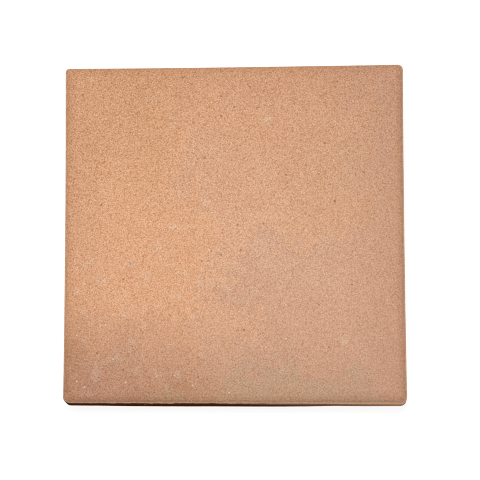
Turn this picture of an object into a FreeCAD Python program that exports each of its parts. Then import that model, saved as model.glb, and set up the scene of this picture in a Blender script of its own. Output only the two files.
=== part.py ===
import FreeCAD, Part
import math
import os

# A square floor tile of fired earthenware, lying as it is laid: wear face up, keyed back down.
# Millimetres. The origin is under the middle of the back, and X runs along the keying grooves.
# The near side faces -Y, the far side +Y, the left side -X and the right side +X.

# The blank, measured over its corners as if they were sharp
LENGTH = 200.0
WIDTH = 200.0
THICKNESS = 20.0

# How far the middle of each side has drawn in as the clay dried, less than 0 where it bulges
HOLLOW_NEAR = -0.1
HOLLOW_RIGHT = 0.4
HOLLOW_FAR = 0.3
HOLLOW_LEFT = 0.45

# How far each corner dried off the true square, along X and along Y
DRIFT_NEAR_LEFT = (0.1, 0.5)
DRIFT_NEAR_RIGHT = (0.2, -0.7)
DRIFT_FAR_RIGHT = (-0.45, 0.7)
DRIFT_FAR_LEFT = (-0.15, -0.2)

# The upright corners, each rubbed to a radius of its own
CORNER_NEAR_LEFT = 4.5
CORNER_NEAR_RIGHT = 4.8
CORNER_FAR_RIGHT = 3.0
CORNER_FAR_LEFT = 3.2

# The rolled edge of the wear face, the small one round the back, and the most of a thin
# tile's side that the rolled edge takes up
ARRIS_RADIUS = 4.2
FOOT_RADIUS = 1.0
MOST_ARRIS_SHARE = 0.9

# The dovetail grooves that key the back into its mortar bed
GROOVE_PITCH = 22.0
GROOVE_MOUTH = 6.5
GROOVE_DEPTH = 1.6
GROOVE_LEAN_DEG = 22.0
GROOVE_LIP_EASE = 0.35
GROOVE_ROOT_RADIUS = 0.5
LEAST_EDGE_LAND = 18.0

# Two heights closer than this are the same
LEVEL_TOLERANCE = 1e-6

LEVEL_PLANE = Part.Plane()
CROSS_PLANE = Part.Plane(FreeCAD.Vector(0, 0, 0), FreeCAD.Vector(1, 0, 0))


def point(x, y, z=0.0):
    return FreeCAD.Vector(x, y, z)


def round_corners(edges, corners, first, plane):
    """Round the corners between edges laid end to end in a plane, and return their arcs.

    Each corner is a place and a radius. The first one stands before the edge numbered first,
    and every arc trims the two edges that it joins.
    """
    arcs = []
    for number, (place, radius) in enumerate(corners, first):
        turn = Part.ChFi2d.FilletAlgo(edges[number - 1], edges[number], plane)
        turn.perform(radius)
        arc, edges[number - 1], edges[number] = turn.result(place, -1)
        arcs.append(arc)
    return arcs


def joined_face(edges):
    """The flat face inside edges that close on each other, given in any order."""
    return Part.Face(Part.Wire(Part.__sortEdges__(edges)))


def side(start, end, hollow):
    """One side of the plan, which draws in towards the tile's middle between its corners."""
    halfway = (start + end) * 0.5
    drawn_in = halfway * (1 - hollow / halfway.Length)
    curve = Part.BSplineCurve()
    curve.interpolate([start, drawn_in, end])
    return curve.toShape()


def corner(across, along, drift):
    """Where two sides of the plan meet, across and along being 1 or -1 and drift its way off."""
    return point(across * LENGTH / 2 + drift[0], along * WIDTH / 2 + drift[1])


def blank():
    """The slab, a little out of square, with its hollow sides and round upright corners."""
    corners = [
        (corner(-1, -1, DRIFT_NEAR_LEFT), CORNER_NEAR_LEFT),
        (corner(1, -1, DRIFT_NEAR_RIGHT), CORNER_NEAR_RIGHT),
        (corner(1, 1, DRIFT_FAR_RIGHT), CORNER_FAR_RIGHT),
        (corner(-1, 1, DRIFT_FAR_LEFT), CORNER_FAR_LEFT),
    ]
    hollows = [HOLLOW_NEAR, HOLLOW_RIGHT, HOLLOW_FAR, HOLLOW_LEFT]
    starts = [place for place, radius in corners]
    ends = starts[1:] + starts[:1]
    sides = [side(*one_side) for one_side in zip(starts, ends, hollows)]
    arcs = round_corners(sides, corners, 0, LEVEL_PLANE)
    return joined_face(sides + arcs).extrude(point(0, 0, THICKNESS))


def edges_at_height(solid, height):
    """The edges that lie wholly in the level plane at a height."""
    return [
        edge for edge in solid.Edges
        if all(abs(vertex.Z - height) < LEVEL_TOLERANCE for vertex in edge.Vertexes)
    ]


def eased_blank():
    """The slab with the edge of its wear face rolled over and the edge of its back eased."""
    side_height = THICKNESS - FOOT_RADIUS
    arris = min(ARRIS_RADIUS, MOST_ARRIS_SHARE * side_height)
    solid = blank()
    solid = solid.makeFillet(arris, edges_at_height(solid, THICKNESS))
    return solid.makeFillet(FOOT_RADIUS, edges_at_height(solid, 0.0))


def groove_section(y):
    """The section of one keying groove across the tile, open at the back."""
    half_mouth = GROOVE_MOUTH / 2
    spread = (GROOVE_DEPTH - GROOVE_LIP_EASE) * math.tan(math.radians(GROOVE_LEAN_DEG))
    half_floor = half_mouth + spread
    half_rim = half_mouth + GROOVE_LIP_EASE
    left_rim = point(0, y - half_rim)
    left_lip = point(0, y - half_mouth, GROOVE_LIP_EASE)
    left_root = point(0, y - half_floor, GROOVE_DEPTH)
    right_root = point(0, y + half_floor, GROOVE_DEPTH)
    right_lip = point(0, y + half_mouth, GROOVE_LIP_EASE)
    right_rim = point(0, y + half_rim)
    groove = Part.makePolygon([left_rim, left_lip, left_root, right_root, right_lip, right_rim]).Edges
    floor_number = len(groove) // 2
    roots = [(left_root, GROOVE_ROOT_RADIUS), (right_root, GROOVE_ROOT_RADIUS)]
    arcs = round_corners(groove, roots, floor_number, CROSS_PLANE)
    below = point(0, 0, -GROOVE_DEPTH)
    opening = Part.makePolygon([right_rim, right_rim + below, left_rim + below, left_rim])
    return joined_face(groove + arcs + opening.Edges)


def groove_cutter(y):
    """A bar with the section of one keying groove, which runs out past both ends of the tile."""
    section = groove_section(y)
    section.translate(point(-LENGTH, 0))
    return section.extrude(point(2 * LENGTH, 0))


def groove_places():
    """Where the grooves lie: in pairs that step outwards from a land on the centre line."""
    outermost = WIDTH / 2 - LEAST_EDGE_LAND - GROOVE_MOUTH / 2
    pairs = int((outermost - GROOVE_PITCH / 2) // GROOVE_PITCH) + 1
    steps = [GROOVE_PITCH * (pair + 0.5) for pair in range(pairs)]
    return [-step for step in reversed(steps)] + steps


def floor_tile():
    """The whole tile: the eased blank with its keying grooves drawn along the back."""
    solid = eased_blank()
    for y in groove_places():
        solid = solid.cut(groove_cutter(y))
    return solid


os.makedirs("parts", exist_ok=True)
tile = floor_tile()
tile.exportStep("parts/floor_tile.step")
print("floor_tile: %d solid, valid %s, %.0f mm3" % (len(tile.Solids), tile.isValid(), tile.Volume))
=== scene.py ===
import math

import bmesh
import bpy
from bpy.props import FloatProperty, FloatVectorProperty, IntProperty, PointerProperty
from mathutils import Euler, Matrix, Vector


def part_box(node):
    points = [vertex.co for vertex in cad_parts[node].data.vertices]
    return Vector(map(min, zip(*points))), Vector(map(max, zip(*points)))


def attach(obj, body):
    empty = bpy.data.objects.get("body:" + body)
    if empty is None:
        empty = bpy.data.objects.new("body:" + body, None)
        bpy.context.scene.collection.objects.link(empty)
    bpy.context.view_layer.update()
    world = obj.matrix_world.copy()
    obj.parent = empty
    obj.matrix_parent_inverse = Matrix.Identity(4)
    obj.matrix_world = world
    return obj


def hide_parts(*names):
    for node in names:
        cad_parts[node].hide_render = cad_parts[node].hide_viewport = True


# A square floor tile of fired earthenware, lying wear face up on a white studio floor.
# Metres. The origin is under the middle of the back, and X runs along the keying grooves.
# The near side faces -Y, the far side +Y, the left side -X and the right side +X.

bl_info = {
    "name": "Earthenware Floor Tile",
    "version": (1, 0, 0),
    "blender": (4, 5, 0),
    "location": "View3D > Sidebar > Floor Tile",
    "description": "Models a square floor tile of fired clay and sets it in a white studio",
    "category": "Object",
}

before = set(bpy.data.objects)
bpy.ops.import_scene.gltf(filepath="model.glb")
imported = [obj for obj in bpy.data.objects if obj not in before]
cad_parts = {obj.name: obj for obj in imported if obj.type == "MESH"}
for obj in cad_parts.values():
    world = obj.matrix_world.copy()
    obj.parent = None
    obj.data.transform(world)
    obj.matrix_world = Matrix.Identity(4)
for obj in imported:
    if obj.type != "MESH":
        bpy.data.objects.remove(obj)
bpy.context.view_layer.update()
TILE_LOW, TILE_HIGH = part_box("floor_tile")

MM = 0.001

# How many pieces each long edge of the slab is cut into, so that it can be curved
SIDE_PIECES = 24

# Where the near wall leans in at the foot: the place as a share of the tile's half length, how
# deep, and how far it reaches each way
FOOT_RECESSES = (
    (-1.0, 0.4 * MM, 60 * MM),
    (1.0, 0.35 * MM, 80 * MM),
    (7 / 12, 0.3 * MM, 16 * MM),
)

# A place nearer than this to a plane lies in it
NEAR_ENOUGH = 1e-6

# Where two faces turn by more than this, in radians, an outer edge of the slab runs
SHARP_TURN = 1.0


def linear(colour):
    """The linear red, green, blue and alpha of an sRGB colour written as #RRGGBB."""
    shares = [int(colour[start:start + 2], 16) / 255 for start in (1, 3, 5)]
    return [s / 12.92 if s <= 0.04045 else ((s + 0.055) / 1.055) ** 2.4 for s in shares] + [1.0]


def length(name, description, size):
    """A length that the user may change, given in millimetres and kept in metres."""
    return FloatProperty(
        name=name, description=description, default=size * MM, min=0.0, unit="LENGTH", precision=5)


def hollow(side, size):
    """How far a side's middle has drawn in, given in millimetres and kept in metres."""
    return FloatProperty(
        name=side.capitalize() + " hollow", default=size * MM, unit="LENGTH", precision=5,
        description="How far the " + side + " side's middle has drawn in, less than 0 if it bulges")


def drift(corner, right, far):
    """How far a corner has dried off the true square, given in millimetres and kept in metres."""
    return FloatVectorProperty(
        name=corner.capitalize() + " drift", size=2, default=(right * MM, far * MM),
        description="How far the " + corner + " corner dried off the true square, along X and Y",
        subtype="TRANSLATION", unit="LENGTH", precision=5)


def colour(name, description, value):
    """A colour that the user may change, given as sRGB and kept as linear."""
    return FloatVectorProperty(
        name=name, description=description, default=linear(value), size=4, min=0.0, max=1.0,
        subtype="COLOR")


class TileForm(bpy.types.PropertyGroup):
    """The shape of the tile before its fine relief."""

    length: length("Length", "The blank from left to right, over its corners as if sharp", 200.0)
    width: length("Width", "The blank from near to far, over its corners as if sharp", 200.0)
    hollow_near: hollow("near", -0.1)
    hollow_right: hollow("right", 0.4)
    hollow_far: hollow("far", 0.3)
    hollow_left: hollow("left", 0.45)
    drift_near_left: drift("near left", 0.1, 0.5)
    drift_near_right: drift("near right", 0.2, -0.7)
    drift_far_right: drift("far right", -0.45, 0.7)
    drift_far_left: drift("far left", -0.15, -0.2)
    corner_near_left: length("Near left corner", "Radius of the near left upright corner", 3.5)
    corner_near_right: length("Near right corner", "Radius of the near right upright corner", 4.2)
    corner_far_right: length("Far right corner", "Radius of the far right upright corner", 3.0)
    corner_far_left: length("Far left corner", "Radius of the far left upright corner", 2.0)
    arris: length("Arris", "Radius of the rolled edge round the wear face", 4.2)
    foot: length("Foot", "Radius of the eased edge round the back", 1.0)
    groove_pitch: length("Groove pitch", "Distance from one keying groove to the next", 22.0)
    groove_mouth: length("Groove mouth", "Width of a keying groove just inside its lips", 6.5)
    groove_depth: length("Groove depth", "Depth of a keying groove", 1.6)
    groove_ease: length("Groove lips", "Width of the flat that eases a groove's lips", 0.35)
    groove_root: length("Groove roots", "Radius in the bottom corners of a groove", 0.5)
    groove_lean: FloatProperty(
        name="Groove lean", description="How far a groove's sides lean from upright",
        default=math.radians(22.0), min=0.0, max=math.radians(45.0), subtype="ANGLE")
    groove_count: IntProperty(
        name="Grooves", description="How many keying grooves the back has", default=8, min=1)


class TileRelief(bpy.types.PropertyGroup):
    """The fine relief that pressing, drying and firing leave on the clay."""

    mesh_size: length("Mesh size", "Size of the faces that the relief is drawn with", 0.8)
    wave_size: length("Wave size", "Width of the slow waves in the faces", 38.0)
    wave_depth: length("Wave depth", "Depth of the slow waves", 0.12)
    dimple_size: length("Dimple size", "Width of the dimples that dragged sand leaves", 3.2)
    dimple_depth: length("Dimple depth", "Depth of the dimples", 0.06)
    rag_size: length("Edge rag size", "Width of the nicks along the arris", 2.2)
    rag_depth: length("Edge rag depth", "Depth of the nicks along the arris", 0.22)
    pit_spacing: length("Pit spacing", "Distance between pits left by grit", 12.0)
    pit_depth: length("Pit depth", "Depth of those pits", 0.25)
    pit_share: FloatProperty(
        name="Pit share", description="A pit's radius as a share of the pit spacing",
        default=0.09, min=0.0, max=0.5, subtype="FACTOR")
    most_triangles: IntProperty(
        name="Triangles", description="Most triangles that the finished tile may have",
        default=190000, min=1000)


class ClayFinish(bpy.types.PropertyGroup):
    """The colours and grain of the fired clay."""

    buff: colour("Buff", "Best fired clay, left of the middle", "#E7B08A")
    orange: colour("Orange", "Warmer clay towards the far left corner", "#DBA680")
    rose: colour("Rose", "Duller, pinker clay towards the right side", "#D2A58C")
    # Partly painted shade: besides darker smudges, it darkens the near edge and the near left
    # corner
    smudge_and_shade: colour("Smudge", "Darker smudges where the flame licked the clay", "#B9875F")
    # Partly painted shade: a duller tone that also darkens the face towards the near side and the
    # far right
    dull_and_shade: colour("Dusk", "Clay that the flame left dusty along the near side", "#BB8E78")
    ash: colour("Ash", "Grey-green bloom where ash lay by the near side", "#C6A88A")
    # Partly painted shade: a browner tone that also darkens the face towards its sides and over the
    # rolled edge, and the keying grooves
    brown_and_shade: colour("Scorch", "Browned clay round the rolled edge", "#A8704A")
    # Painted light: a pale colour laid as a highlight low on the rolled edge and along the walls'
    # tops, and as a pool of light in the middle of the face
    painted_light: colour("Rubbed", "Clay rubbed pale where the rolled edge meets the walls", "#FFCFA8")
    wall: colour("Walls", "Redder clay of the walls, where no sand lies", "#DCA47E")
    # Painted shade: a dark colour on the near wall that stands for the shade under the tile's edge;
    # the same colour also darkens the lines of the die
    umber_lines_and_shade: colour("Umber", "Walls burnt dark where they faced the fire", "#4A220C")
    lime: colour("Lime", "Specks of lime and quartz", "#EFE3D2")
    grit: colour("Grit", "Dark grit and the pits it leaves", "#8C6244")
    grain_size: length("Grain size", "Distance from one sand grain to the next", 0.9)
    silt_size: length("Silt size", "Size of the finer grains between them", 0.36)
    line_width: length("Line width", "Width of the lines that the die drew along the back", 0.9)


class Studio(bpy.types.PropertyGroup):
    """The camera, lamp and floor."""

    lens: FloatProperty(
        name="Lens", description="Focal length on a sensor 36 mm wide", default=225.0,
        min=1.0, unit="CAMERA")
    distance: length("Distance", "From the camera to the plane through the tile's back", 1772.6)
    aim_right: length("Aim right", "How far right of the tile's middle the camera aims", 2.66)
    aim_near: length("Aim near", "How far to the near side of it the camera aims", 1.07)
    lean: FloatProperty(
        name="Lean", description="How far the view leans to the near side from straight down",
        default=math.radians(9.506), subtype="ANGLE")
    swing: FloatProperty(
        name="Swing", description="How far the view swings to the right side",
        default=math.radians(2.091), subtype="ANGLE")
    roll: FloatProperty(
        name="Roll", description="How far the camera is turned round its own axis",
        default=math.radians(-0.373), subtype="ANGLE")
    lamp_length: length("Lamp length", "Size of the soft lamp from left to right", 900.0)
    lamp_width: length("Lamp width", "Size of the soft lamp from near to far", 320.0)
    lamp_distance: length("Lamp distance", "From the lamp to the tile", 1500.0)
    lamp_way: FloatVectorProperty(
        name="Lamp way", description="The way from the tile to the lamp: up, a little far and left",
        default=(-0.06, 0.16, 1.0), subtype="DIRECTION")
    lamp_share: FloatProperty(
        name="Lamp share",
        description="The lamp's share of the light on the tile. The rest comes from all round",
        default=0.72, min=0.0, max=1.0, subtype="FACTOR")
    shade: colour("Floor shade", "The part of the floor's white that a shadow takes", "#707070")
    floor_glow: FloatProperty(
        name="Floor glow", description="The part of the floor's white that stays in shadow",
        default=0.9, min=0.0, max=1.0, subtype="FACTOR")
    floor_bounce: FloatProperty(
        name="Floor bounce", description="The part of the light that the floor throws back up",
        default=0.95, min=0.0, max=1.0, subtype="FACTOR")


def deselect():
    """Leave nothing selected, so that the next operator acts on its own piece alone."""
    bpy.ops.object.select_all(action="DESELECT")


def pick(piece, mode, test):
    """In edit mode, select the vertices or edges that pass a test, and nothing else."""
    bpy.ops.mesh.select_mode(type=mode)
    bpy.ops.mesh.select_all(action="DESELECT")
    shape = bmesh.from_edit_mesh(piece.data)
    for part in {"VERT": shape.verts, "EDGE": shape.edges}[mode]:
        if test(part):
            part.select_set(True)
    bmesh.update_edit_mesh(piece.data)


def all_within(edge, axis, place):
    """Whether an edge lies wholly in the plane that stands across an axis at a place."""
    return all(abs(vertex.co[axis] - place) < NEAR_ENOUGH for vertex in edge.verts)


def finish_with(piece, kind, **settings):
    """Add a modifier to the active piece, set it and apply it."""
    bpy.context.view_layer.objects.active = piece
    bpy.ops.object.modifier_add(type=kind)
    modifier = piece.modifiers[-1]
    for name, value in settings.items():
        setattr(modifier, name, value)
    bpy.ops.object.modifier_apply(modifier=modifier.name)


def add_block(name, low, high):
    """A block between two corners, as a mesh in place with its object at the origin."""
    deselect()
    size = high - low
    bpy.ops.mesh.primitive_cube_add(size=1.0, location=(low + high) / 2, scale=size)
    bpy.ops.object.transform_apply(location=True, rotation=True, scale=True)
    block = bpy.context.object
    block.name = name
    block.data.name = name
    return block


def plan_corners(form):
    """The sharp corners of the blank's plan from the near left, with their drifts and radii."""
    right = form.length / 2
    far = form.width / 2
    return [
        (Vector((-right, -far, 0)), form.drift_near_left, form.corner_near_left),
        (Vector((right, -far, 0)), form.drift_near_right, form.corner_near_right),
        (Vector((right, far, 0)), form.drift_far_right, form.corner_far_right),
        (Vector((-right, far, 0)), form.drift_far_left, form.corner_far_left),
    ]


def stands_at(vertex, place):
    """Whether a vertex lies straight above or below a place."""
    return (vertex.co.xy - place.xy).length < NEAR_ENOUGH


def draw_in_sides(tile, form):
    """Curve the four sides inwards, each by its own hollow, deepest in the middle."""
    sides = [
        (Vector((0, -form.width / 2, 0)), Vector((0, form.hollow_near, 0)), form.length),
        (Vector((form.length / 2, 0, 0)), Vector((-form.hollow_right, 0, 0)), form.width),
        (Vector((0, form.width / 2, 0)), Vector((0, -form.hollow_far, 0)), form.length),
        (Vector((-form.length / 2, 0, 0)), Vector((form.hollow_left, 0, 0)), form.width),
    ]
    for middle, shift, span in sides:
        pick(tile, "VERT", lambda v: stands_at(v, middle))
        bpy.ops.transform.translate(
            value=shift, use_proportional_edit=True, proportional_size=span / 2,
            proportional_edit_falloff="INVERSE_SQUARE")


def pull_corners(tile, form):
    """Pull the corners off the true square. The sides between them follow evenly."""
    for place, off, radius in plan_corners(form):
        pick(tile, "VERT", lambda v: stands_at(v, place))
        bpy.ops.transform.translate(
            value=(off[0], off[1], 0), use_proportional_edit=True,
            proportional_size=form.length, proportional_edit_falloff="LINEAR")


def lean_foot_in(tile, form):
    """Lean the near wall in at the foot, with its upper edge left as it is."""
    half_piece = form.length / SIDE_PIECES / 2
    pick(tile, "VERT", lambda v: v.co.z > NEAR_ENOUGH)
    bpy.ops.mesh.hide()
    for share, depth, reach in FOOT_RECESSES:
        across = share * form.length / 2
        pick(
            tile, "VERT",
            lambda v: not v.hide and v.co.y < 0 and abs(v.co.x - across) < half_piece)
        bpy.ops.transform.translate(
            value=(0, depth, 0), use_proportional_edit=True, proportional_size=reach,
            proportional_edit_falloff="SMOOTH")
    bpy.ops.mesh.reveal()


def mark_edges(tile, form):
    """Give every outer edge its radius, as a share of the widest one, and return that one."""
    corners = plan_corners(form)
    widest = max([form.arris, form.foot] + [radius for place, off, radius in corners])
    for place, off, radius in corners:
        pulled = place + Vector((off[0], off[1], 0))
        pick(tile, "EDGE", lambda e: all(stands_at(v, pulled) for v in e.verts))
        bpy.ops.transform.edge_bevelweight(value=radius / widest)
    for height, radius in ((TILE_HIGH.z, form.arris), (TILE_LOW.z, form.foot)):
        pick(tile, "EDGE", lambda e: all_within(e, 2, height) and e.calc_face_angle() > SHARP_TURN)
        bpy.ops.transform.edge_bevelweight(value=radius / widest)
    return widest


def round_edges(tile, form):
    """Roll the arris over and ease the foot and the upright corners in one go."""
    bpy.ops.object.mode_set(mode="EDIT")
    widest = mark_edges(tile, form)
    lean_foot_in(tile, form)
    bpy.ops.object.mode_set(mode="OBJECT")
    finish_with(tile, "BEVEL", limit_method="WEIGHT", width=widest, segments=8)


def add_groove_bar(form):
    """A bar with the section of a keying groove, narrow at its neck and spread at its root."""
    first = -form.groove_pitch * (form.groove_count - 1) / 2
    spread = (form.groove_depth - form.groove_ease) * math.tan(form.groove_lean)
    half_mouth = form.groove_mouth / 2
    reach = TILE_HIGH.x + form.groove_pitch
    bar = add_block(
        "groove_bar",
        Vector((-reach, first - half_mouth, -form.groove_depth)),
        Vector((reach, first + half_mouth, form.groove_depth)))
    bpy.ops.object.mode_set(mode="EDIT")
    bpy.ops.mesh.select_all(action="SELECT")
    bpy.ops.mesh.bisect(plane_co=(0, 0, form.groove_ease), plane_no=(0, 0, 1))
    for height, half_width in (
            (form.groove_depth, half_mouth + spread),
            (-form.groove_depth, half_mouth + form.groove_ease + form.groove_depth)):
        pick(bar, "VERT", lambda v: abs(v.co.z - height) < NEAR_ENOUGH)
        bpy.ops.transform.resize(
            value=(1, half_width / half_mouth, 1), center_override=(0, first, height))
    pick(
        bar, "EDGE", lambda e: all_within(e, 2, form.groove_depth)
        and abs(e.verts[0].co.x + e.verts[1].co.x) < NEAR_ENOUGH)
    bpy.ops.mesh.bevel(offset=form.groove_root, segments=4, affect="EDGES")
    bpy.ops.object.mode_set(mode="OBJECT")
    finish_with(
        bar, "ARRAY", count=form.groove_count, use_relative_offset=False,
        use_constant_offset=True, constant_offset_displace=(0, form.groove_pitch, 0))
    return bar


def cut_grooves(tile, form):
    """Cut the keying grooves along the back."""
    bar = add_groove_bar(form)
    finish_with(tile, "BOOLEAN", operation="DIFFERENCE", solver="EXACT", object=bar)
    bpy.data.objects.remove(bar)


def group_where(tile, name, test):
    """Make a vertex group of the vertices that pass a test of their place."""
    group = tile.vertex_groups.new(name=name)
    chosen = [vertex.index for vertex in tile.data.vertices if test(vertex.co)]
    group.add(chosen, 1.0, "REPLACE")
    return group.name


def sink_texture(kind, size, **settings):
    """A clay texture whose highest places are 1 and stay at the surface."""
    texture = bpy.data.textures.new("clay_relief", kind)
    texture.noise_scale = size
    for name, value in settings.items():
        setattr(texture, name, value)
    return texture


def sink(tile, texture, depth, group=""):
    """Press a clay texture into the surface. It only goes inwards, so the tile keeps its size."""
    finish_with(
        tile, "DISPLACE", texture=texture, texture_coords="LOCAL", direction="NORMAL",
        mid_level=1.0, strength=depth, vertex_group=group)


def add_relief(tile, form, relief):
    """Even the mesh out, then give it waves, sand dimples, grit pits and a ragged arris."""
    finish_with(tile, "REMESH", mode="VOXEL", voxel_size=relief.mesh_size)
    inset = form.arris
    arris = group_where(
        tile, "arris",
        lambda place: place.z > TILE_HIGH.z - inset
        and max(abs(place.x) - TILE_HIGH.x, abs(place.y) - TILE_HIGH.y) > -inset)
    sink(tile, sink_texture("CLOUDS", relief.wave_size), relief.wave_depth)
    sink(tile, sink_texture("CLOUDS", relief.dimple_size, noise_depth=1), relief.dimple_depth)
    sink(tile, sink_texture("CLOUDS", relief.rag_size, noise_depth=1), relief.rag_depth, arris)
    pits = sink_texture("VORONOI", relief.pit_spacing)
    pits.use_color_ramp = True
    pits.color_ramp.elements[0].color = (0, 0, 0, 1)
    pits.color_ramp.elements[1].color = (1, 1, 1, 1)
    pits.color_ramp.elements[1].position = relief.pit_share
    sink(tile, pits, relief.pit_depth)
    share = relief.most_triangles / (2 * len(tile.data.polygons))
    if share < 1.0:
        finish_with(tile, "DECIMATE", ratio=share)


class OBJECT_OT_make_floor_tile(bpy.types.Operator):
    """Model the tile: slab, hollow sides, rolled edges, keying grooves and fine relief."""

    bl_idname = "object.make_floor_tile"
    bl_label = "Make Floor Tile"
    bl_options = {"REGISTER", "UNDO"}

    def execute(self, context):
        form = context.scene.tile_form
        half = Vector((form.length / 2, form.width / 2, 0))
        thickness = Vector((0, 0, TILE_HIGH.z))
        tile = add_block("fired_tile", -half, half + thickness)
        bpy.ops.object.mode_set(mode="EDIT")
        pick(tile, "EDGE", lambda e: abs(e.verts[0].co.z - e.verts[1].co.z) < NEAR_ENOUGH)
        bpy.ops.mesh.subdivide(number_cuts=SIDE_PIECES - 1)
        draw_in_sides(tile, form)
        pull_corners(tile, form)
        bpy.ops.object.mode_set(mode="OBJECT")
        round_edges(tile, form)
        cut_grooves(tile, form)
        add_relief(tile, form, context.scene.tile_relief)
        bpy.ops.object.shade_smooth()
        tile.data.materials.clear()
        tile.data.materials.append(fired_earthenware(context.scene.clay_finish))
        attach(tile, "root")
        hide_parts("floor_tile")
        return {"FINISHED"}


def put(tree, kind, sockets, out=0, **settings):
    """Add a node, set it and fill its sockets with values or with the outputs of other nodes.

    It returns the output numbered out, or the whole node where out is None.
    """
    node = tree.nodes.new(kind)
    for name, value in settings.items():
        setattr(node, name, value)
    for name, value in sockets.items():
        if isinstance(value, bpy.types.NodeSocket):
            tree.links.new(value, node.inputs[name])
        else:
            node.inputs[name].default_value = value
    return node.outputs[out] if out is not None else node


def new_material(name):
    """An empty material and its node tree."""
    material = bpy.data.materials.new(name)
    material.use_nodes = True
    material.node_tree.nodes.clear()
    return material, material.node_tree


def wash(tree, body, tint, share, where):
    """Lay a thin wash of another colour over the body, in its full share where a mask is 1."""
    strength = put(tree, "ShaderNodeMath", {0: where, 1: share}, operation="MULTIPLY")
    return put(tree, "ShaderNodeMix", {0: strength, 6: body, 7: tint}, out=2, data_type="RGBA")


def patch(tree, place, fades):
    """How far a place lies inside a patch of the tile: 1 well inside, 0 outside, soft between.

    Each fade is the number of an axis, and the millimetres where the patch starts and is full.
    """
    axes = put(tree, "ShaderNodeSeparateXYZ", {0: place}).node.outputs
    inside = 1.0
    for axis, start, full in fades:
        inside = put(
            tree, "ShaderNodeMapRange",
            {"Value": axes[axis], "From Min": start, "From Max": full, "To Max": inside},
            interpolation_type="SMOOTHSTEP")
    return inside


def strayed(tree, place, size, reach, seed):
    """The place thrown about by noise, so that a patch read from it is torn and has islands.

    The noise is the size of the tears, reach is how far it throws, and seed picks its pattern.
    """
    noise = put(
        tree, "ShaderNodeTexNoise",
        {"Vector": place, "W": seed, "Scale": 1 / size, "Detail": 5.0, "Roughness": 0.62},
        out=1, noise_dimensions="4D")
    stray = put(tree, "ShaderNodeVectorMath", {0: noise, 1: (0.5, 0.5, 0.5)}, operation="SUBTRACT")
    stray = put(tree, "ShaderNodeVectorMath", {0: stray, "Scale": reach}, operation="SCALE")
    return put(tree, "ShaderNodeVectorMath", {0: place, 1: stray}, operation="ADD")


def edge_nearness(tree, place, reach):
    """1 at the sides of the tile, seen from above, and 0 further in than a reach."""
    axes = put(tree, "ShaderNodeSeparateXYZ", {0: place}).node.outputs
    across = put(tree, "ShaderNodeMath", {0: axes[0]}, operation="ABSOLUTE")
    along = put(tree, "ShaderNodeMath", {0: axes[1]}, operation="ABSOLUTE")
    outmost = put(tree, "ShaderNodeMath", {0: across, 1: along}, operation="MAXIMUM")
    half = TILE_HIGH.x / MM
    return put(
        tree, "ShaderNodeMapRange", {"Value": outmost, "From Min": half - reach, "From Max": half},
        interpolation_type="SMOOTHERSTEP")


# The size of the blotches on the far side, in millimetres as all places on the clay
BLOTCH_SIZE = 15.0


def face_colour_and_shade(tree, place, finish):
    """The drift of colour that flame, ash and the neighbouring tiles leave on the wear face, with
    painted shade towards the near side, the near edge and the far right, and a painted pool of
    light in the middle.
    """
    # Each patch: its colour, its share, and where it fades in along X (0) and Y (1)
    slow_patches = [
        (finish.orange, 0.66, [(0, 40.0, -60.0), (1, -10.0, 92.0)]),
        (finish.orange, 0.50, [(0, -20.0, 20.0), (1, 0.0, 80.0)]),
        (finish.smudge_and_shade, 0.13,
         [(0, -96.0, -62.0), (0, -16.0, -52.0), (1, 22.0, 62.0), (1, 98.0, 72.0)]),
        # A duller tone with painted shade towards the far right
        (finish.dull_and_shade, 0.37, [(0, 15.0, 90.0), (1, -15.0, 80.0)]),
        (finish.smudge_and_shade, 0.09, [(0, 20.0, 45.0), (1, -20.0, 5.0), (1, 80.0, 30.0)]),
        # A painted pool of light in the middle of the face
        (finish.painted_light, 0.12,
         [(0, -30.0, -8.0), (0, 40.0, 20.0), (1, 20.0, 4.0), (1, -34.0, -20.0)]),
        # A duller tone with painted shade towards the near side
        (finish.dull_and_shade, 0.84, [(0, 34.0, -66.0), (1, -36.0, -100.0)]),
        (finish.dull_and_shade, 0.42, [(0, -50.0, 0.0), (1, -50.0, -98.0)]),
        (finish.dull_and_shade, 0.08, [(0, -46.0, -84.0), (1, -40.0, -78.0)]),
        # Painted shade in the near left corner and along the near edge
        (finish.smudge_and_shade, 0.26, [(0, -86.0, -100.0), (1, -40.0, -86.0)]),
        (finish.smudge_and_shade, 0.35, [(1, -88.0, -102.0)]),
    ]
    ragged_patches = [
        (finish.rose, 0.24, [(0, -26.0, -17.0)]),
        (finish.lime, 0.035, [(0, -28.0, -16.0), (1, 64.0, 46.0)]),
        (finish.rose, 0.40, [(0, 58.0, 78.0)]),
        (finish.rose, 0.46, [(0, 2.0, 14.0), (1, -4.0, -14.0)]),
        (finish.lime, 0.045,
         [(0, 24.0, 34.0), (0, 62.0, 52.0), (1, -6.0, -16.0), (1, -46.0, -36.0)]),
        (finish.ash, 0.30, [(0, 6.0, 13.0), (0, 28.0, 20.0), (1, -60.0, -70.0)]),
        (finish.ash, 0.54, [(0, -58.0, -46.0), (0, 92.0, 80.0), (1, -84.0, -88.0)]),
    ]
    torn = strayed(tree, place, size=34.0, reach=62.0, seed=60.0)
    ragged = strayed(tree, place, size=40.0, reach=130.0, seed=11.0)
    ragged = strayed(tree, ragged, size=9.0, reach=60.0, seed=11.0)
    body = finish.buff
    for where, patches in ((torn, slow_patches), (ragged, ragged_patches)):
        for tint, share, fades in patches:
            body = wash(tree, body, tint, share, patch(tree, where, fades))
    return wash(tree, body, finish.orange, 0.32, far_blotches(tree, place))


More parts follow.
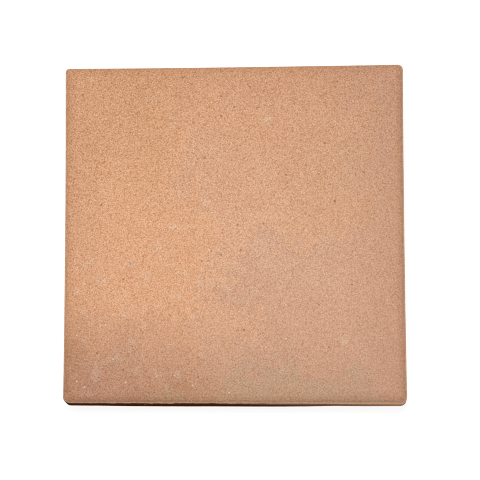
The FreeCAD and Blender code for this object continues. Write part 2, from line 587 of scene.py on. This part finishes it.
def far_blotches(tree, place):
    """Blotches of warmer clay, which break up the rose on the far side."""
    far_side = patch(tree, place, [(0, -44.0, -20.0), (1, -16.0, 20.0)])
    blotch = put(
        tree, "ShaderNodeTexNoise",
        {"Vector": place, "Scale": 1 / BLOTCH_SIZE, "Detail": 4.0, "Roughness": 0.6})
    return put(
        tree, "ShaderNodeMapRange",
        {"Value": blotch, "From Min": 0.48, "From Max": 0.54, "To Max": far_side},
        interpolation_type="SMOOTHSTEP")


# How far out a speck is solid, as a share of its radius
SPECK_CORE = 0.6


def sprinkled(tree, place, spacing, radius, few, many, where):
    """Single specks in cells of their own: in few of the cells, and in many where a mask is 1."""
    cell = put(
        tree, "ShaderNodeTexVoronoi", {"Vector": place, "Scale": 1 / spacing},
        feature="F1").node.outputs
    lot = put(tree, "ShaderNodeSeparateColor", {0: cell[1]})
    bar = put(tree, "ShaderNodeMapRange", {"Value": where, "To Min": 1 - few, "To Max": 1 - many})
    drawn = put(tree, "ShaderNodeMath", {0: lot, 1: bar}, operation="GREATER_THAN")
    return put(
        tree, "ShaderNodeMapRange",
        {"Value": cell[0], "From Min": radius, "From Max": SPECK_CORE * radius, "To Max": drawn},
        interpolation_type="SMOOTHSTEP")


# How much the crown of a sand grain counts beside the tone of the silt on it, and the two's middle
CROWN_WEIGHT = 1.2
GRAIN_MIDDLE = 0.5 - CROWN_WEIGHT * 0.5

# The turn that keeps the rows of grains from lining up with the sides of the tile
GRAIN_TURN = (0.5, 0.3, 0.8)

# By how much the sand thickens for each millimetre along X, Y and Z: towards the far left
SAND_DRIFT = (-0.0013, 0.0013, 0.0)


def sand_grain(tree, place, finish):
    """The tone of the sand, over 0 on the crowns of the grains and under 0 in their pores, where it
    stands for painted shade.
    """
    tumbled = put(
        tree, "ShaderNodeVectorRotate", {"Vector": place, "Rotation": GRAIN_TURN},
        rotation_type="EULER_XYZ")
    crown = put(
        tree, "ShaderNodeTexVoronoi", {"Vector": tumbled, "Scale": MM / finish.grain_size},
        feature="F1")
    silt = put(
        tree, "ShaderNodeTexVoronoi", {"Vector": place, "Scale": MM / finish.silt_size},
        feature="F1", out=1)
    silt = put(tree, "ShaderNodeSeparateColor", {0: silt})
    tone = put(
        tree, "ShaderNodeMath", {0: crown, 1: -CROWN_WEIGHT, 2: silt}, operation="MULTIPLY_ADD")
    tone = put(tree, "ShaderNodeMath", {0: tone, 1: GRAIN_MIDDLE}, operation="SUBTRACT")
    thicker = put(
        tree, "ShaderNodeVectorMath", {0: place, 1: SAND_DRIFT}, operation="DOT_PRODUCT", out=1)
    return put(tree, "ShaderNodeMath", {0: tone, 1: thicker, 2: tone}, operation="MULTIPLY_ADD")


# How far red, green and blue swing from pore to grain, as pale grains are creamier than the
# clay, and the darkest that a pore gets
GRAIN_SWING = (0.31, 0.485, 0.61)
DARKEST_PORE = (0.05, 0.05, 0.05)


def grained(tree, body, grain):
    """The body's colour, paler on the grains of sand, with painted shade in the pores between them.
    """
    swing = put(
        tree, "ShaderNodeVectorMath", {0: grain, 1: GRAIN_SWING, 2: (1.0, 1.0, 1.0)},
        operation="MULTIPLY_ADD")
    # Painted shade in the pores, down to the darkest
    swing = put(tree, "ShaderNodeVectorMath", {0: swing, 1: DARKEST_PORE}, operation="MAXIMUM")
    return put(tree, "ShaderNodeVectorMath", {0: body, 1: swing}, operation="MULTIPLY")


# The pattern of the die's lines is drawn out along X by this much, and not along Y and Z, and
# the lines fade in here on the way down a wall, along Z (2)
DIE_STRETCH = (0.02, 1.0, 1.0)
DRAWN_WALL = (2, 16.0, 14.5)


def die_lines(tree, place, finish):
    """The lines that the die drew along the back and the walls: 1 on a line and 0 between."""
    drawn_out = put(
        tree, "ShaderNodeVectorMath", {0: place, 1: DIE_STRETCH}, operation="MULTIPLY")
    lines = put(
        tree, "ShaderNodeTexNoise",
        {"Vector": drawn_out, "Scale": MM / finish.line_width, "Detail": 3.0, "Roughness": 0.6})
    return put(
        tree, "ShaderNodeMapRange",
        {"Value": lines, "From Min": 0.35, "From Max": 0.65,
         "To Max": patch(tree, place, [DRAWN_WALL])})


# Where a colour fades in on the way down a side, along Z (2): a painted highlight low on the rolled
# edge, and again where the wall starts, then the wall's own colour, and the back's
LOWER_RIM = (2, 18.2, 17.4)
WALL_TOP = (2, 16.2, 15.6)
PLAIN_WALL = (2, 16.0, 9.0)
BACK = (2, 2.6, 1.4)

# Where painted shade darkens the near wall: to the left, and again lower down and further to the
# right
FIRST_WALL_SHADE = [(2, 16.8, 16.2), (0, 75.0, -15.0), (1, -80.0, -96.0)]
SECOND_WALL_SHADE = [(2, 15.0, 12.5), (0, 160.0, 10.0), (1, -80.0, -96.0)]

# Painted shade inside the keying grooves: over the back, under their roots and short of the tile's
# sides
GROOVE_SHADE = [(2, 0.3, 1.3), (2, 2.4, 2.0), (0, -98.0, -97.0), (0, 98.0, 97.0)]


def browned_and_shaded_edges(tree, place, finish, body):
    """The body, browned and darkened with painted shade towards its sides and over the rolled edge,
    with a painted highlight low on it.
    """
    # Browning with painted shade towards the sides and over the rolled edge
    body = wash(tree, body, finish.brown_and_shade, 0.14, edge_nearness(tree, place, reach=38.0))
    body = wash(tree, body, finish.brown_and_shade, 0.20, edge_nearness(tree, place, reach=9.0))
    # Painted highlight low on the rolled edge
    return wash(tree, body, finish.painted_light, 0.55, patch(tree, place, [LOWER_RIM]))


def lit_and_shaded_walls(tree, place, finish, body):
    """The body, with a painted highlight along the top of the walls and redder clay down to the
    foot.

    The near wall is darkened with painted shade, most of all to the left.
    """
    # Painted highlight along the top of the walls
    body = wash(tree, body, finish.painted_light, 0.95, patch(tree, place, [WALL_TOP]))
    body = wash(tree, body, finish.wall, 0.90, patch(tree, place, [PLAIN_WALL]))
    torn_shade_place = strayed(tree, place, size=7.0, reach=4.0, seed=0.0)
    # Painted shade on the near wall
    for shade_band in (FIRST_WALL_SHADE, SECOND_WALL_SHADE):
        body = wash(tree, body, finish.umber_lines_and_shade, 0.93, patch(tree, torn_shade_place, shade_band))
    return body


def back_with_shaded_grooves(tree, place, finish, body):
    """The body, with a back that stayed paler in its bed of sand, and painted shade in its grooves.
    """
    body = wash(tree, body, finish.rose, 0.7, patch(tree, place, [BACK]))
    # Painted shade in the grooves
    return wash(tree, body, finish.brown_and_shade, 0.45, patch(tree, place, GROOVE_SHADE))


# How high a grain stands over a pore, and how many times as deep the grit is sunk
GRAIN_HEIGHT = 0.08 * MM
GRIT_SINK = -2.0


def fired_earthenware(finish):
    """Red earthenware, unglazed, sand-faced and fired in a stack.

    The body is sandy and open, so it is quite matt and looks grainy close to. Flame and ash
    reach it unevenly, so it drifts from warm buff to a dusty rose and browns along its edges.
    Its colour also carries painted shade towards the near side, the edges, the near wall, the
    grooves and the pores, and painted highlights low on the rolled edge and along the walls' tops.
    """
    material, tree = new_material("fired_earthenware")
    place = put(tree, "ShaderNodeTexCoord", {}, out=3)
    place = put(tree, "ShaderNodeVectorMath", {0: place, "Scale": 1 / MM}, operation="SCALE")

    # Blooms of salt, most of them on the left, then specks of lime and dark grit, most of them
    # by the near left corner
    left = patch(tree, place, [(0, 16.0, -64.0), (1, 50.0, -60.0)])
    near_left = patch(tree, place, [(0, 20.0, -60.0), (1, -20.0, -60.0)])
    bloom = sprinkled(tree, place, spacing=4.0, radius=0.75, few=0.010, many=0.11, where=left)
    lime = sprinkled(
        tree, place, spacing=1.5, radius=0.42, few=0.0016, many=0.011, where=near_left)
    grit = sprinkled(
        tree, place, spacing=1.9, radius=0.45, few=0.006, many=0.012, where=near_left)
    lines = die_lines(tree, place, finish)
    grain = sand_grain(tree, place, finish)

    # The colour, from the fired body up to the sand and the lime on top of it
    body = face_colour_and_shade(tree, place, finish)
    body = wash(tree, body, finish.lime, 0.13, bloom)
    body = wash(tree, body, finish.grit, 0.55, grit)
    body = browned_and_shaded_edges(tree, place, finish, body)
    body = lit_and_shaded_walls(tree, place, finish, body)
    body = back_with_shaded_grooves(tree, place, finish, body)
    body = wash(tree, body, finish.umber_lines_and_shade, 0.15, lines)
    body = grained(tree, body, grain)
    body = wash(tree, body, finish.lime, 0.65, lime)

    # Relief too fine for the mesh: the grains, the sunken grit and the lines of the die
    height = put(
        tree, "ShaderNodeMath", {0: grit, 1: GRIT_SINK, 2: grain}, operation="MULTIPLY_ADD")
    height = put(tree, "ShaderNodeMath", {0: lines, 1: height}, operation="ADD")
    relief = put(
        tree, "ShaderNodeBump", {"Strength": 1.0, "Distance": GRAIN_HEIGHT, "Height": height})

    # Open pores scatter all the light that falls in, so the clay has no sheen of its own
    skin = put(
        tree, "ShaderNodeBsdfPrincipled",
        {"Base Color": body, "Roughness": 0.9, "IOR": 1.5, "Specular IOR Level": 0.0,
         "Normal": relief})
    put(tree, "ShaderNodeOutputMaterial", {"Surface": skin}, out=None)
    return material


def visible_rays(tree):
    """1 for the rays that show a surface, straight or mirrored, and 0 for its light on others."""
    path = put(tree, "ShaderNodeLightPath", {}).node.outputs
    seen = put(
        tree, "ShaderNodeMath", {0: path["Is Camera Ray"], 1: path["Is Glossy Ray"]},
        operation="MAXIMUM")
    return put(
        tree, "ShaderNodeMath", {0: seen, 1: path["Is Transmission Ray"]}, operation="MAXIMUM")


class SCENE_OT_make_tile_studio(bpy.types.Operator):
    """Lay the floor, hang the lamp and set up the camera."""

    bl_idname = "scene.make_tile_studio"
    bl_label = "Make Tile Studio"
    bl_options = {"REGISTER", "UNDO"}

    def execute(self, context):
        scene = context.scene
        studio = scene.tile_studio
        lay_floor(studio)
        light_studio(scene, studio)
        set_camera(scene, studio)
        scene.view_settings.view_transform = "Standard"
        # Unfiltered guides and a narrow pixel keep the clay's fine grain from being smeared
        scene.cycles.denoising_prefilter = "NONE"
        scene.cycles.filter_width = 1.0
        return {"FINISHED"}


FLOOR_RADIUS = 4.0
FLOOR_ROLL = 0.03

# The floor goes dark inside gaps as low as this, such as the mouths of the keying grooves: its
# glow starts where the first share of the sky shows, and is full from the second on
TIGHT_GAP = 4 * MM
SHUT_IN = 0.1
OPEN_ENOUGH = 0.4


def lay_floor(studio):
    """A round white floor, wide enough to reach the horizon, with its rim rolled down."""
    deselect()
    bpy.ops.mesh.primitive_circle_add(
        vertices=96, radius=FLOOR_RADIUS, fill_type="NGON", location=(0, 0, 0))
    floor = bpy.context.object
    floor.name = "studio_floor"
    bpy.ops.object.mode_set(mode="EDIT")
    pick(floor, "EDGE", lambda e: True)
    bpy.ops.mesh.extrude_edges_move(TRANSFORM_OT_translate={"value": (0, 0, -FLOOR_ROLL)})
    pick(floor, "EDGE", lambda e: all_within(e, 2, 0.0))
    bpy.ops.mesh.bevel(offset=FLOOR_ROLL / 2, segments=4, affect="EDGES")
    bpy.ops.mesh.select_all(action="SELECT")
    bpy.ops.mesh.normals_make_consistent(inside=False)
    bpy.ops.object.mode_set(mode="OBJECT")
    floor.data.materials.append(studio_paper(studio))


def studio_paper(studio):
    """Matt white paper, which reads as white wherever the light is full and keeps a faint shadow.

    It throws light up on the walls of the tile, and is dark in the mouths of the grooves. From
    below it is clear, so that the back of the tile can be looked at.
    """
    material, tree = new_material("studio_paper")
    shade = put(tree, "ShaderNodeBsdfDiffuse", {"Color": studio.shade})
    openness = put(tree, "ShaderNodeAmbientOcclusion", {"Distance": TIGHT_GAP}, out=1, samples=8)
    glow_strength = put(
        tree, "ShaderNodeMapRange",
        {"Value": openness, "From Min": SHUT_IN, "From Max": OPEN_ENOUGH,
         "To Max": studio.floor_glow})
    glow = put(tree, "ShaderNodeEmission", {"Color": (1, 1, 1, 1), "Strength": glow_strength})
    seen = put(tree, "ShaderNodeAddShader", {0: shade, 1: glow})
    bounce = put(
        tree, "ShaderNodeEmission", {"Color": (1, 1, 1, 1), "Strength": studio.floor_bounce})
    white = put(tree, "ShaderNodeMixShader", {0: visible_rays(tree), 1: bounce, 2: seen})
    clear = put(tree, "ShaderNodeBsdfTransparent", {})
    back = put(tree, "ShaderNodeNewGeometry", {}).node.outputs["Backfacing"]
    paper = put(tree, "ShaderNodeMixShader", {0: back, 1: white, 2: clear})
    put(tree, "ShaderNodeOutputMaterial", {"Surface": paper}, out=None)
    return material


def light_studio(scene, studio):
    """A long soft lamp above, a little far and left, and even light from all round."""
    world = bpy.data.worlds.new("studio_light")
    world.use_nodes = True
    tree = world.node_tree
    tree.nodes.clear()
    level = put(
        tree, "ShaderNodeMapRange",
        {"Value": visible_rays(tree), "To Min": 1 - studio.lamp_share, "To Max": 1.0})
    glow = put(tree, "ShaderNodeBackground", {"Color": (1, 1, 1, 1), "Strength": level})
    put(tree, "ShaderNodeOutputWorld", {"Surface": glow}, out=None)
    scene.world = world

    way = Vector(studio.lamp_way).normalized()
    lamp = bpy.data.lights.new("soft_lamp", "AREA")
    lamp.shape = "RECTANGLE"
    lamp.size = studio.lamp_length
    lamp.size_y = studio.lamp_width
    # As many watts as let a level surface show its share of its own colour
    lamp.energy = studio.lamp_share * math.pi ** 2 * studio.lamp_distance ** 2 / way.z
    holder = bpy.data.objects.new("soft_lamp", lamp)
    scene.collection.objects.link(holder)
    holder.location = way * studio.lamp_distance
    holder.rotation_euler = way.to_track_quat("Z", "Y").to_euler()


def set_camera(scene, studio):
    """A long lens nearly straight above, leaning to the near side."""
    camera = bpy.data.cameras.new("camera")
    camera.lens = studio.lens
    camera.sensor_width = 36.0
    holder = bpy.data.objects.new("camera", camera)
    scene.collection.objects.link(holder)
    turn = Euler((studio.lean, studio.swing, studio.roll), "ZYX")
    holder.rotation_mode = "ZYX"
    holder.rotation_euler = turn
    aim = Vector((studio.aim_right, -studio.aim_near, studio.distance))
    holder.location = turn.to_matrix() @ aim
    camera.clip_end = 10 * studio.distance
    scene.camera = holder


class VIEW3D_PT_floor_tile(bpy.types.Panel):
    """The tile's and the studio's settings."""

    bl_idname = "VIEW3D_PT_floor_tile"
    bl_label = "Floor Tile"
    bl_space_type = "VIEW_3D"
    bl_region_type = "UI"
    bl_category = "Floor Tile"

    def draw(self, context):
        scene = context.scene
        for title, settings, operator in (
                ("Shape", scene.tile_form, ""),
                ("Relief", scene.tile_relief, ""),
                ("Clay", scene.clay_finish, OBJECT_OT_make_floor_tile.bl_idname),
                ("Studio", scene.tile_studio, SCENE_OT_make_tile_studio.bl_idname)):
            box = self.layout.box()
            box.label(text=title)
            for name in settings.__annotations__:
                box.prop(settings, name)
            if operator:
                box.operator(operator)


CLASSES = [
    TileForm, TileRelief, ClayFinish, Studio,
    OBJECT_OT_make_floor_tile, SCENE_OT_make_tile_studio, VIEW3D_PT_floor_tile,
]
SETTINGS = {
    "tile_form": TileForm, "tile_relief": TileRelief, "clay_finish": ClayFinish,
    "tile_studio": Studio,
}


def register():
    for kind in CLASSES:
        bpy.utils.register_class(kind)
    for name, kind in SETTINGS.items():
        setattr(bpy.types.Scene, name, PointerProperty(type=kind))


def unregister():
    for name in SETTINGS:
        delattr(bpy.types.Scene, name)
    for kind in reversed(CLASSES):
        bpy.utils.unregister_class(kind)


def main():
    register()
    bpy.ops.object.make_floor_tile()
    bpy.ops.scene.make_tile_studio()


if __name__ == "__main__":
    main()
